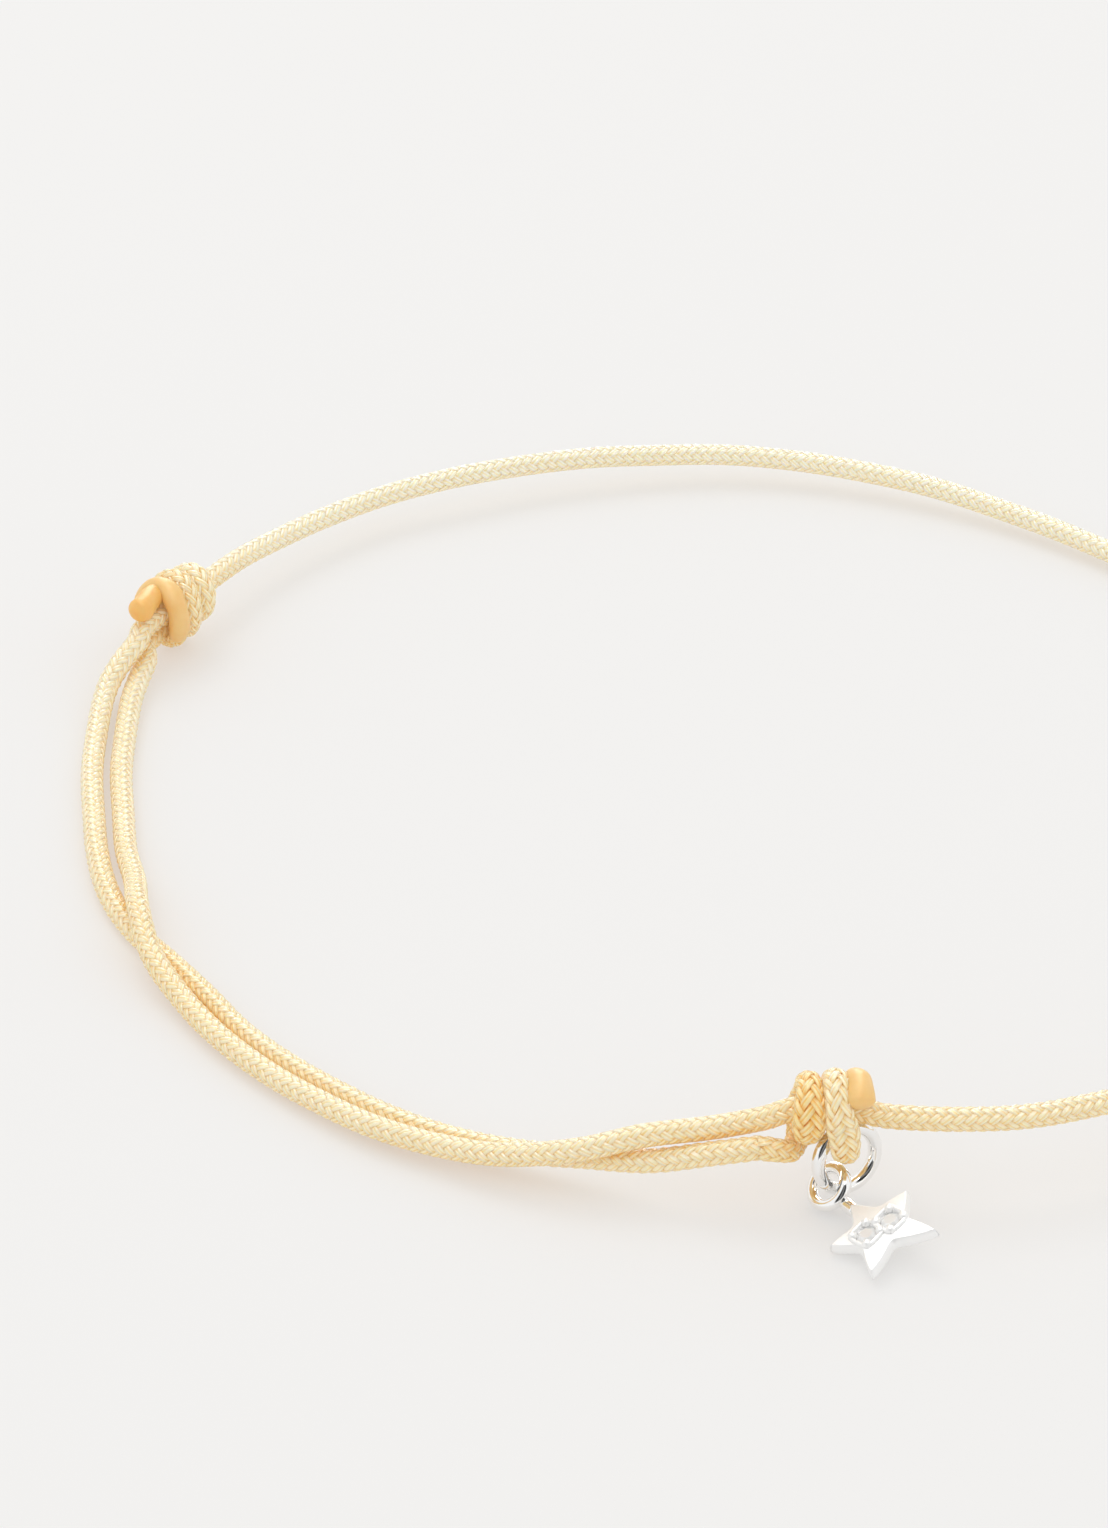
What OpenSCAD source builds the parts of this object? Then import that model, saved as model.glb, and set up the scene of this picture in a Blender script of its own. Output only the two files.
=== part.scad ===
// Rope bracelet: a thin braided cord closed by two sliding knots,
// with a small two-stone star hanging from the front knot on a jump ring.
// It lies on a flat surface at z = 0. X is to the right, Y away from the star, Z up.

/* [Cord] */
// Thickness of the braided cord, in mm
cord_d = 1.2; // [1.1:0.05:1.2]

/* [Knots] */
// Width of every cord turn in the knots, as a share of the width in the tables
wrap_width = 1; // [0.85:0.05:1]
// Thickness of every cord turn in the knots, as a share of the one in the tables
wrap_thickness = 1; // [0.85:0.05:1]

/* [Jump ring] */
// Radius of the jump ring, measured to the middle of its wire
ring_r = 1.55; // [1.52:0.01:1.56]
// Thickness of the jump ring's wire
ring_wire = 0.66; // [0.5:0.02:0.68]

/* [Star] */
// Size of the star's outline, as a share of the one in its table
star_scale = 1; // [0.95:0.01:1.05]
// Thickness of the star
star_h = 0.9; // [0.8:0.05:0.9]
// Radius of the bail, measured to the middle of its wire
bail_r = 0.93; // [0.91:0.01:0.94]
// Thickness of the bail's wire
bail_wire = 0.6; // [0.5:0.02:0.66]

/* [Stones] */
// Diameter of each stone
stone_d = 1.1; // [0.9:0.02:1.1]
// Height of a stone from its point to its table
stone_h = 0.62; // [0.5:0.02:0.66]
// Diameter of the small beads that hold the stones
bead_d = 0.26; // [0.2:0.02:0.3]

/* [Hidden] */

cord_colour = "#EBD8A4";
knot_colour = "#F0BE68";
silver_colour = "#DADADA";
stone_colour = "#F2F2EE";

cord_sides = 8;
wrap_sides = 10;
steps_per_row = 2;
dome_steps = 3;

up = [0, 0, 1];

// Where the two knots sit, and the heading of the cord through each of them
left_knot_at = [-28.85, 18.05, 2.65];
left_knot_heading = 55.2;
front_knot_at = [3.8, -27.9, 4.95];
front_knot_heading = 0;

// Single stretch of cord, from the middle of the front knot round the right side
// and the back to the middle of the left knot
back_route = [
    [3.8, -27.9, 4.95], [4.6, -27.9, 4.93], [5.5, -27.9, 4.65], [6.8, -27.9, 4.4], [9.8, -28, 4.35],
    [13, -27.7, 4.3], [16.3, -26.5, 4.1], [19.6, -24.9, 3.8], [22.7, -22.7, 3.4],
    [25.5, -20.1, 2.9], [27.9, -17, 2.4], [29.8, -13.6, 1.9], [31.2, -10, 1.4],
    [32.2, -6.2, 1], [32.7, -2.3, 0.7], [32.8, 1.6, 0.6], [32.4, 5.5, 0.6],
    [31.6, 9.3, 0.6], [30.4, 13, 0.6], [28.7, 16.5, 0.6], [26.6, 19.7, 0.7],
    [24.2, 22.5, 0.8], [21.4, 25.1, 0.9], [18.3, 27.5, 1], [15.1, 29.6, 1.1],
    [11.7, 31.4, 1.3], [8.1, 32.8, 1.4], [4.4, 33.8, 1.5], [0.5, 34.3, 1.6],
    [-3.4, 34.1, 1.7], [-7.2, 33.5, 1.9], [-11, 32.5, 2], [-14.7, 31.1, 2.1],
    [-18.3, 29.5, 2], [-21.5, 27.2, 2.05], [-24, 24.8, 2.2], [-25.9, 22.5, 2.45]
];

// The two strands run side by side from the left knot to the front knot.
// Each row: x, y and z of the point midway between them, the angle of the inner
// strand about the outer one (0 outside the loop, 90 above), and their distance
pair_rows = [
    [-30.7, 14.7, 1.75, -105, 1.27],
    [-31.35, 13.2, 1.3, -138, 1.32],
    [-31.8, 11.5, 0.9, -166, 1.42],
    [-32, 8.3, 0.6, -180, 1.5],
    [-32, 5.1, 0.6, -180, 1.5],
    [-31.7, 1.7, 0.6, -180, 1.5],
    [-31.3, -1.9, 0.7, -185, 1.45],
    [-30.6, -5.1, 0.9, -203, 1.45],
    [-29.7, -8.3, 1.33, -260, 1.45],
    [-28.3, -11.3, 1.1, -319, 1.35],
    [-26.5, -14.1, 0.8, -351, 1.25],
    [-24.6, -16.9, 0.7, -352, 1.25],
    [-22.2, -19.6, 0.7, -354, 1.25],
    [-19.7, -21.9, 0.8, -353, 1.25],
    [-17.1, -23.9, 0.9, -350, 1.25],
    [-14.1, -25.5, 1, -342, 1.25],
    [-11.1, -26.8, 1.4, -332, 1.25],
    [-7.8, -27.7, 2.1, -308, 1.3],
    [-4.8, -28.2, 2.8, -257, 1.3],
    [-1.8, -28.4, 3.4, -216, 1.25]
];

// Turns of cord in a knot. Each row: angle about the knot's axis, distance along
// the axis, distance out to the middle of the cord, and its width and thickness
left_turns = [
    [172, -3, 1.24, 1.2, 1.2],
    [169, -2.2, 1.23, 1.2, 1.16],
    [163, -1.4, 1.12, 1.18, 0.94],
    [158, -0.7, 1.04, 1.18, 0.8],
    [158, -0.1, 1.04, 1.16, 0.8],
    [172, 0.35, 1.06, 1.1, 0.86],
    [205, 0.66, 1.1, 1.02, 0.95],
    [235, 0.78, 1.13, 1.05, 1],
    [270, 0.82, 1.14, 1.15, 1],
    [315, 1.02, 1.14, 1.2, 1],
    [360, 1.22, 1.14, 1.15, 1],
    [405, 1.22, 1.16, 1, 1],
    [450, 0.95, 1.24, 1, 1],
    [490, 0.6, 1.78, 1, 0.9],
    [518, 0.35, 1.96, 1, 0.88],
    [545, 0.1, 1.78, 1, 0.9],
    [585, -0.2, 1.3, 1, 0.98],
    [630, -0.38, 1.15, 1.08, 1],
    [675, -0.18, 1.16, 1.08, 1],
    [720, 0.06, 1.3, 1.05, 1],
    [765, 0.02, 1.42, 1, 1],
    [810, -0.2, 1.38, 1, 1],
    [850, -0.5, 1.78, 1, 0.9],
    [878, -0.72, 1.96, 1, 0.88],
    [905, -0.98, 1.78, 1, 0.9],
    [945, -1.3, 1.3, 1, 0.98],
    [990, -1.5, 1.15, 1.06, 1],
    [1035, -1.33, 1.18, 1.06, 1.02],
    [1080, -1.06, 1.34, 1.04, 1.05],
    [1125, -1.08, 1.44, 1, 1],
    [1165, -1.3, 1.4, 1, 1]
];
// The cord's other end, tucked under the left knot's first turn
left_end = [
    [32, -0.9, 1.22, 1, 1],
    [22, -1.5, 1.24, 1.1, 1.1],
    [8, -2.4, 1.27, 1.24, 1.24],
    [-3, -3.3, 1.32, 1.34, 1.34]
];
front_turns = [
    [141, -3.4, 1.85, 1.2, 1.2],
    [145, -2.9, 1.93, 1.2, 1.2],
    [152, -2.4, 2.02, 1.15, 1.15],
    [163, -1.98, 2.14, 1.15, 1.15],
    [180, -1.7, 2.22, 1.15, 1.1],
    [200, -1.55, 2.1, 1.15, 1.1],
    [225, -1.58, 1.78, 1.15, 1.1],
    [250, -1.45, 1.42, 1.15, 1.1],
    [270, -1.3, 1.2, 1.15, 1.1],
    [315, -1.15, 1.2, 1.15, 1.1],
    [360, -1.08, 1.22, 1.15, 1.1],
    [405, -1.12, 1.2, 1.35, 1.1],
    [450, -1.12, 1.2, 1.46, 1.1],
    [495, -1.16, 1.2, 1.22, 1.1],
    [540, -1, 1.2, 1.12, 1.1],
    [585, -0.5, 1.2, 1.1, 1.1],
    [630, -0.1, 1.2, 1.1, 1.1],
    [675, 0.05, 1.3, 1.1, 1.1],
    [720, 0.15, 1.45, 1.2, 1.1],
    [765, 0.2, 1.4, 1.15, 1.1],
    [810, 0.36, 1.3, 1.42, 1.1],
    [832, 0.5, 1.55, 1.38, 1.1],
    [855, 0.56, 2.02, 1.25, 1.05],
    [880, 0.63, 2.16, 1.15, 1.05],
    [905, 0.7, 2.1, 1.15, 1.05],
    [945, 0.85, 1.7, 1.15, 1.1],
    [990, 1.02, 1.3, 1.1, 1.1],
    [1035, 1.08, 1.28, 1.12, 1.1],
    [1080, 1.15, 1.4, 1.18, 1.15],
    [1118, 1.2, 1.42, 1.22, 1.2]
];

// Where the jump ring stands, and how it is turned and leant back
ring_at = [4.5, -28.33, 2.36];
ring_turn = 30;
ring_lean = 9.5;

// Where the star lies, how it is tilted, and which way its neck points
star_at = [5.82, -32.22, 1.38];
star_tilt = [7.6, -17.6];
neck_heading = 125;
neck_from = 2.1;
neck_r = 0.34;
neck_z = -0.36;
bail_out = 3.9;
bail_twist = -27.6;

star_steps = 60;
star_edge_power = 2;
// Each row: angle of a tip, its distance from the centre, and the least distance
// of the rim from the centre between this tip and the next one round
star_tips = [
    [-168, 2.45, 1.44],
    [-100, 2.8, 1.3],
    [-18, 2.9, 1.5],
    [53, 2.5, 1.46],
    [125, 2.3, 1.44],
    [192, 2.45, 1.44]
];
// Layers that round the star's rim: share of the outline, and the layer's top and
// bottom below the top face, as shares of the star's thickness
star_layers = [
    [0.9, 0, -0.72],
    [0.96, -0.05, -0.66],
    [1, -0.13, -0.55],
    [0.75, -0.6, -0.9],
    [0.45, -0.8, -1]
];

// The two stones lie side by side across the star
stone_offset = 0.64;
stone_heading = 27;
stone_facets = 8;
stone_fit = 0.04;
table_share = 0.55;
culet_share = 0.1;
seat_depth = 0.75;
bead_out = 0.745;
bead_turn = 0;
bead_root = 0.2;
bead_rise = 0.1;
round_fn = 48;
wire_fn = 32;

function unit(v) = v / norm(v);
function heading_vector(angle) = [cos(angle), sin(angle), 0];
function right_of(dir) = unit([dir.y, -dir.x, 0]);
function over(dir) = cross(right_of(dir), dir);
function direction(points, i) =
    unit(points[min(i + 1, len(points) - 1)] - points[max(i - 1, 0)]);

// A ring of points about a centre, with the given half widths along two directions
function ring_points(centre, across, out, half_a, half_b, sides) = [
    for (i = [0 : sides - 1])
        let (angle = -90 + 360 * i / sides)
        centre + across * half_a * cos(angle) + out * half_b * sin(angle)
];

// Rings of a round cord along a route, whose last two directions may be given
function cord_rings(points, first_dir, last_dir) = [
    for (i = [0 : len(points) - 1])
        let (dir = i == 0 ? first_dir : i == len(points) - 1 ? last_dir : direction(points, i))
        ring_points(points[i], -right_of(dir), over(dir), cord_d / 2, cord_d / 2, cord_sides)
];

// Smooth curve through four rows, at share t of the way from the second to the third
function between(a, b, c, d, t) =
    0.5 * (2 * b + (c - a) * t + (2 * a - 5 * b + 4 * c - d) * t * t
        + (3 * b - a - 3 * c + d) * t * t * t);
function smooth_rows(rows, steps) = [
    for (i = [0 : len(rows) - 2])
        for (j = [0 : i == len(rows) - 2 ? steps : steps - 1])
            between(rows[max(i - 1, 0)], rows[i], rows[i + 1],
                rows[min(i + 2, len(rows) - 1)], j / steps)
];

// A place on a knot: row[0] about the axis, row[1] along it, row[2] out from it
function out_dir(side, row) = up * cos(row[0]) + side * sin(row[0]);
function turn_point(at, axis, side, row) =
    at + axis * row[1] + out_dir(side, row) * row[2];
function turn_points(at, axis, side, rows) =
    [for (row = rows) turn_point(at, axis, side, row)];
function turn_rings(at, axis, side, rows) =
    let (points = turn_points(at, axis, side, rows))
    [
        for (i = [0 : len(rows) - 1])
            let (
                dir = direction(points, i),
                across = unit(cross(out_dir(side, rows[i]), dir)),
                out = cross(dir, across)
            )
            ring_points(points[i], across, out,
                wrap_width * rows[i][3] / 2, wrap_thickness * rows[i][4] / 2, wrap_sides)
    ];

// Rings that close the end of a swept cord with a low dome
function dome_rings(last_ring, dir, height) =
    let (centre = [for (axis = [0 : 2]) [for (p = last_ring) p[axis]] * [for (p = last_ring) 1]]
        / len(last_ring))
    [
        for (i = [1 : dome_steps])
            let (angle = 75 * i / dome_steps)
            [for (p = last_ring) centre + (p - centre) * cos(angle) + dir * height * sin(angle)]
    ];

// Closed skin over a list of rings that all have the same number of points
module skin(rings) {
    sides = len(rings[0]);
    count = len(rings);
    polyhedron(
        points = [for (ring = rings) each ring],
        faces = [
            [for (i = [0 : sides - 1]) i],
            for (k = [0 : count - 2])
                for (i = [0 : sides - 1])
                    let (a = k * sides + i, b = k * sides + (i + 1) % sides)
                    each [[a, a + sides, b], [b, a + sides, b + sides]],
            [for (i = [sides - 1 : -1 : 0]) (count - 1) * sides + i]
        ],
        convexity = 10
    );
}

left_axis = heading_vector(left_knot_heading);
left_side = -right_of(left_axis);
left_rows = smooth_rows(left_turns, steps_per_row);
left_path = turn_points(left_knot_at, left_axis, left_side, left_rows);
front_axis = heading_vector(front_knot_heading);
front_side = right_of(front_axis);
front_rows = smooth_rows(front_turns, steps_per_row);
front_path = turn_points(front_knot_at, front_axis, front_side, front_rows);

// The inner strand lies at plus half of the distance, the outer one at minus half
pair_mid = [for (row = pair_rows) [row[0], row[1], row[2]]];
function strand(sign) = [
    for (i = [0 : len(pair_rows) - 1])
        let (dir = direction(pair_mid, i), row = pair_rows[i])
        pair_mid[i] + sign * row[4] / 2 * (right_of(dir) * cos(row[3]) + over(dir) * sin(row[3]))
];

// The inner strand starts as the left knot's turns and goes through the front knot
inner_route = [
    left_path[0],
    each strand(1),
    [0.5, -27.9, 4.3],
    [1.5, -27.9, 4.7],
    [2.3, -27.9, 4.92],
    front_knot_at
];
// The outer strand goes through the left knot and ends as the front knot's turns
outer_route = [
    left_knot_at,
    left_knot_at - left_axis * 3,
    each strand(-1),
    front_path[0]
];
back_points = [each back_route, left_knot_at + left_axis * 2.1, left_knot_at];

module back_cord() {
    color(cord_colour)
        skin(cord_rings(back_points, front_axis, -left_axis));
}

module inner_strand() {
    color(cord_colour)
        skin(cord_rings(inner_route, -direction(left_path, 0), front_axis));
}

module outer_strand() {
    color(cord_colour)
        skin(cord_rings(outer_route, -left_axis, direction(front_path, 0)));
}

// One swept end of cord on a knot, closed by a dome
module turns(at, axis, side, rows, dome_h) {
    rings = turn_rings(at, axis, side, rows);
    last = len(rings) - 1;
    skin([
        each rings,
        each dome_rings(rings[last], direction(turn_points(at, axis, side, rows), last), dome_h)
    ]);
}

module left_knot() {
    color(knot_colour)
        union() {
            turns(left_knot_at, left_axis, left_side, left_rows, 0.3);
            turns(left_knot_at, left_axis, left_side, smooth_rows(left_end, steps_per_row), 0.35);
        }
}

module front_knot() {
    color(knot_colour)
        turns(front_knot_at, front_axis, front_side, front_rows, 0.35);
}

module wire_ring(radius, wire) {
    rotate_extrude($fn = round_fn)
        translate([radius, 0])
            circle(d = wire, $fn = wire_fn);
}

module jump_ring() {
    color(silver_colour)
        translate(ring_at)
            rotate([90 - ring_lean, 0, ring_turn])
                wire_ring(ring_r, ring_wire);
}

// Everything on the star is placed on its tilted top face
module on_star() {
    translate(star_at)
        rotate([star_tilt[0], 0, 0])
            rotate([0, star_tilt[1], 0])
                children();
}

function star_radius(angle) =
    let (
        k = [for (k = [0 : len(star_tips) - 2]) if (angle >= star_tips[k][0]) k],
        tip = star_tips[len(k) - 1],
        next_tip = star_tips[len(k)],
        share = (angle - tip[0]) / (next_tip[0] - tip[0]),
        reach = share < 0.5 ? tip[1] : next_tip[1]
    )
    star_scale * (tip[2] + (reach - tip[2]) * pow(abs(1 - 2 * share), star_edge_power));

module star_layer(share, top, bottom) {
    translate([0, 0, bottom * star_h])
        linear_extrude((top - bottom) * star_h)
            polygon([
                for (i = [0 : star_steps - 1])
                    let (angle = star_tips[0][0] + 360 * i / star_steps, r = star_radius(angle) * share)
                    [r * cos(angle), r * sin(angle)]
            ]);
}

module at_stone(side) {
    rotate([0, 0, stone_heading])
        translate([side * stone_offset, 0, 0])
            rotate([0, 0, -stone_heading])
                children();
}

module star_charm() {
    color(silver_colour)
        on_star()
            union() {
                difference() {
                    for (layer = star_layers)
                        star_layer(layer[0], layer[1], layer[2]);
                    for (side = [-1, 1])
                        at_stone(side)
                            translate([0, 0, -seat_depth])
                                cylinder(h = 2 * seat_depth, d = stone_d + 2 * stone_fit, $fn = wire_fn);
                }
                for (side = [-1, 1])
                    at_stone(side)
                        for (corner = [0 : 3])
                            rotate([0, 0, bead_turn + 90 * corner])
                                translate([bead_out, 0, -bead_root])
                                    cylinder(h = bead_root + bead_rise, d = bead_d, $fn = wire_fn);
                rotate([0, 0, neck_heading]) {
                    translate([neck_from, 0, neck_z])
                        rotate([0, 90, 0])
                            cylinder(h = bail_out - bail_r - neck_from, r = neck_r, $fn = wire_fn);
                    translate([bail_out, 0, 0])
                        rotate([bail_twist, 0, 0])
                            wire_ring(bail_r, bail_wire);
                }
            }
}

// A cut stone: an eight-sided table, a crown, a thin girdle and a pavilion
module stone(side) {
    girdle_h = 0.06;
    crown_h = 0.16;
    r = stone_d / 2;
    levels = [
        [culet_share, crown_h - stone_h],
        [1, -girdle_h],
        [1, 0],
        [table_share, crown_h]
    ];
    color(stone_colour)
        on_star()
            at_stone(side)
                translate([0, 0, -0.08])
                    skin([
                        for (level = levels)
                            [
                                for (i = [0 : stone_facets - 1])
                                    let (angle = 360 * i / stone_facets)
                                    [r * level[0] * cos(angle), r * level[0] * sin(angle), level[1]]
                            ]
                    ]);
}

module stone_left() {
    stone(-1);
}

module stone_right() {
    stone(1);
}

back_cord();
inner_strand();
outer_strand();
left_knot();
front_knot();
jump_ring();
star_charm();
stone_left();
stone_right();
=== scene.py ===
"""Rope bracelet: a thin braided cord with two sliding knots and a small silver star.

The cord's yarns, the melted ends, the wire rings and the star are surfaces worked out with
numpy on the same routes and tables as the solid model's. The cut stones are the solid model's.
"""
import logging
import math
from dataclasses import dataclass, field, replace
from enum import Enum
from typing import Any, Sequence

import bpy
import numpy as np
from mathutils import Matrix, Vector


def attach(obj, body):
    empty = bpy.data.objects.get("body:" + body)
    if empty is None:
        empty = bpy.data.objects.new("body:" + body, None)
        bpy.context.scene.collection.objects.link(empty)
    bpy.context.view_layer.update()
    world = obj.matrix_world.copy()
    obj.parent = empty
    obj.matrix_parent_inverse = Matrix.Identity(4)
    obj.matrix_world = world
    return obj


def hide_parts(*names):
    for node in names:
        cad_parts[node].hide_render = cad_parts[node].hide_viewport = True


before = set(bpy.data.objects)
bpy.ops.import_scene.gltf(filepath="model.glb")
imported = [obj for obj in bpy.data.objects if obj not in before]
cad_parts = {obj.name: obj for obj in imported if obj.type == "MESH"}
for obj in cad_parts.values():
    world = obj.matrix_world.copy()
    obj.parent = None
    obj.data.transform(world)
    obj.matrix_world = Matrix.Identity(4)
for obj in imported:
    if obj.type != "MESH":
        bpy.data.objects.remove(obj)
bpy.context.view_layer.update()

LOG = logging.getLogger("bracelet")
MM = 0.001
TAU = 2 * math.pi
UP = np.array([0.0, 0.0, 1.0])
PHOTO_HEIGHT = 1528
STATIONS_PER_ROW = 12
Colour = tuple[float, float, float]

LEFT_KNOT_AT = np.array([-28.85, 18.05, 2.65])
LEFT_KNOT_HEADING = 55.2
FRONT_KNOT_AT = np.array([3.8, -27.9, 4.95])
FRONT_KNOT_HEADING = 0.0
CORD_D = 1.2

# The cord's route and the knots' tables, in millimetres, as in the solid model.
BACK_ROUTE = np.array([
    [3.8, -27.9, 4.95], [4.6, -27.9, 4.93], [5.5, -27.9, 4.65], [6.8, -27.9, 4.4],
    [9.8, -28, 4.35], [13, -27.7, 4.3], [16.3, -26.5, 4.1], [19.6, -24.9, 3.8],
    [22.7, -22.7, 3.4], [25.5, -20.1, 2.9], [27.9, -17, 2.4], [29.8, -13.6, 1.9],
    [31.2, -10, 1.4], [32.2, -6.2, 1], [32.7, -2.3, 0.7], [32.8, 1.6, 0.6], [32.4, 5.5, 0.6],
    [31.6, 9.3, 0.6], [30.4, 13, 0.6], [28.7, 16.5, 0.6], [26.6, 19.7, 0.7], [24.2, 22.5, 0.8],
    [21.4, 25.1, 0.9], [18.3, 27.5, 1], [15.1, 29.6, 1.1], [11.7, 31.4, 1.3], [8.1, 32.8, 1.4],
    [4.4, 33.8, 1.5], [0.5, 34.3, 1.6], [-3.4, 34.1, 1.7], [-7.2, 33.5, 1.9], [-11, 32.5, 2],
    [-14.7, 31.1, 2.1], [-18.3, 29.5, 2], [-21.5, 27.2, 2.05], [-24, 24.8, 2.2],
    [-25.9, 22.5, 2.45],
])
PAIR_ROWS = np.array([
    [-30.7, 14.7, 1.75, -105, 1.27], [-31.35, 13.2, 1.3, -138, 1.32],
    [-31.8, 11.5, 0.9, -166, 1.42], [-32, 8.3, 0.6, -180, 1.5], [-32, 5.1, 0.6, -180, 1.5],
    [-31.7, 1.7, 0.6, -180, 1.5], [-31.3, -1.9, 0.7, -185, 1.45], [-30.6, -5.1, 0.9, -203, 1.45],
    [-29.7, -8.3, 1.33, -260, 1.45], [-28.3, -11.3, 1.1, -319, 1.35],
    [-26.5, -14.1, 0.8, -351, 1.25], [-24.6, -16.9, 0.7, -352, 1.25],
    [-22.2, -19.6, 0.7, -354, 1.25], [-19.7, -21.9, 0.8, -353, 1.25],
    [-17.1, -23.9, 0.9, -350, 1.25], [-14.1, -25.5, 1, -342, 1.25],
    [-11.1, -26.8, 1.4, -332, 1.25], [-7.8, -27.7, 2.1, -308, 1.3], [-4.8, -28.2, 2.8, -257, 1.3],
    [-1.8, -28.4, 3.4, -216, 1.25],
])
FRONT_ARCH = np.array([[0.5, -27.9, 4.3], [1.5, -27.9, 4.7], [2.3, -27.9, 4.92]])
LEFT_TURNS = np.array([
    [172, -3, 1.24, 1.2, 1.2], [169, -2.2, 1.23, 1.2, 1.16], [163, -1.4, 1.12, 1.18, 0.94],
    [158, -0.7, 1.04, 1.18, 0.8], [158, -0.1, 1.04, 1.16, 0.8], [172, 0.35, 1.06, 1.1, 0.86],
    [205, 0.66, 1.1, 1.02, 0.95], [235, 0.78, 1.13, 1.05, 1], [270, 0.82, 1.14, 1.15, 1],
    [315, 1.02, 1.14, 1.2, 1], [360, 1.22, 1.14, 1.15, 1], [405, 1.22, 1.16, 1, 1],
    [450, 0.95, 1.24, 1, 1], [490, 0.6, 1.78, 1, 0.9], [518, 0.35, 1.96, 1, 0.88],
    [545, 0.1, 1.78, 1, 0.9], [585, -0.2, 1.3, 1, 0.98], [630, -0.38, 1.15, 1.08, 1],
    [675, -0.18, 1.16, 1.08, 1], [720, 0.06, 1.3, 1.05, 1], [765, 0.02, 1.42, 1, 1],
    [810, -0.2, 1.38, 1, 1], [850, -0.5, 1.78, 1, 0.9], [878, -0.72, 1.96, 1, 0.88],
    [905, -0.98, 1.78, 1, 0.9], [945, -1.3, 1.3, 1, 0.98], [990, -1.5, 1.15, 1.06, 1],
    [1035, -1.33, 1.18, 1.06, 1.02], [1080, -1.06, 1.34, 1.04, 1.05], [1125, -1.08, 1.44, 1, 1],
    [1165, -1.3, 1.4, 1, 1],
])
LEFT_END = np.array([
    [32, -0.9, 1.22, 1, 1], [22, -1.5, 1.24, 1.1, 1.1], [8, -2.4, 1.27, 1.24, 1.24],
    [-3, -3.3, 1.32, 1.34, 1.34],
])
FRONT_TURNS = np.array([
    [141, -3.4, 1.85, 1.2, 1.2], [145, -2.9, 1.93, 1.2, 1.2], [152, -2.4, 2.02, 1.15, 1.15],
    [163, -1.98, 2.14, 1.15, 1.15], [180, -1.7, 2.22, 1.15, 1.1], [200, -1.55, 2.1, 1.15, 1.1],
    [225, -1.58, 1.78, 1.15, 1.1], [250, -1.45, 1.42, 1.15, 1.1], [270, -1.3, 1.2, 1.15, 1.1],
    [315, -1.15, 1.2, 1.15, 1.1], [360, -1.08, 1.22, 1.15, 1.1], [405, -1.12, 1.2, 1.35, 1.1],
    [450, -1.12, 1.2, 1.46, 1.1], [495, -1.16, 1.2, 1.22, 1.1], [540, -1, 1.2, 1.12, 1.1],
    [585, -0.5, 1.2, 1.1, 1.1], [630, -0.1, 1.2, 1.1, 1.1], [675, 0.05, 1.3, 1.1, 1.1],
    [720, 0.15, 1.45, 1.2, 1.1], [765, 0.2, 1.4, 1.15, 1.1], [810, 0.36, 1.3, 1.42, 1.1],
    [832, 0.5, 1.55, 1.38, 1.1], [855, 0.56, 2.02, 1.25, 1.05], [880, 0.63, 2.16, 1.15, 1.05],
    [905, 0.7, 2.1, 1.15, 1.05], [945, 0.85, 1.7, 1.15, 1.1], [990, 1.02, 1.3, 1.1, 1.1],
    [1035, 1.08, 1.28, 1.12, 1.1], [1080, 1.15, 1.4, 1.18, 1.15], [1118, 1.2, 1.42, 1.22, 1.2],
])

# The ring and the star, in millimetres, as in the solid model.
RING_AT = np.array([4.5, -28.33, 2.36])
STAR_AT = np.array([5.82, -32.22, 1.38])
STAR_TIPS = np.array([
    [-168, 2.45, 1.44], [-100, 2.8, 1.3], [-18, 2.9, 1.5], [53, 2.5, 1.46], [125, 2.3, 1.44],
    [192, 2.45, 1.44],
])


class Slot(Enum):
    """Material slot names for the new pieces, passed to to_object."""

    CORD = "cord"
    KNOT = "knot_cord"
    SILVER = "silver"


# Surfaces worked out with numpy


def unit(vectors: np.ndarray) -> np.ndarray:
    """Vectors over their own lengths."""
    return vectors / np.linalg.norm(vectors, axis=-1, keepdims=True)


def heading_vector(angle: float) -> np.ndarray:
    """The level unit vector at an angle in degrees from +X towards +Y."""
    return np.array([math.cos(math.radians(angle)), math.sin(math.radians(angle)), 0.0])


def turned(axis: int, angle: float) -> np.ndarray:
    """The matrix of a right-handed turn about one axis: cos and sin of the angle in its plane.

    Args:
        axis: 0, 1 or 2 for X, Y or Z.
        angle: the turn, in degrees.

    Returns:
        The matrix.
    """
    cos, sin = math.cos(math.radians(angle)), math.sin(math.radians(angle))
    matrix = np.eye(3)
    j, k = (axis + 1) % 3, (axis + 2) % 3
    matrix[j, j] = matrix[k, k] = cos
    matrix[j, k], matrix[k, j] = -sin, sin
    return matrix


def smooth_step(values: np.ndarray) -> np.ndarray:
    """0 below 0, 1 above 1, and 3v^2 - 2v^3 between."""
    v = np.clip(values, 0.0, 1.0)
    return v * v * (3 - 2 * v)


def right_of(directions: np.ndarray) -> np.ndarray:
    """The level unit vectors a quarter turn to the right of some directions."""
    return unit(np.stack([directions[..., 1], -directions[..., 0], 0 * directions[..., 0]], -1))


def route_directions(points: np.ndarray) -> np.ndarray:
    """Unit vectors from each point's neighbour before to its neighbour after."""
    return unit(np.concatenate([points[1:], points[-1:]]) - np.concatenate([points[:1], points[:-1]]))


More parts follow.
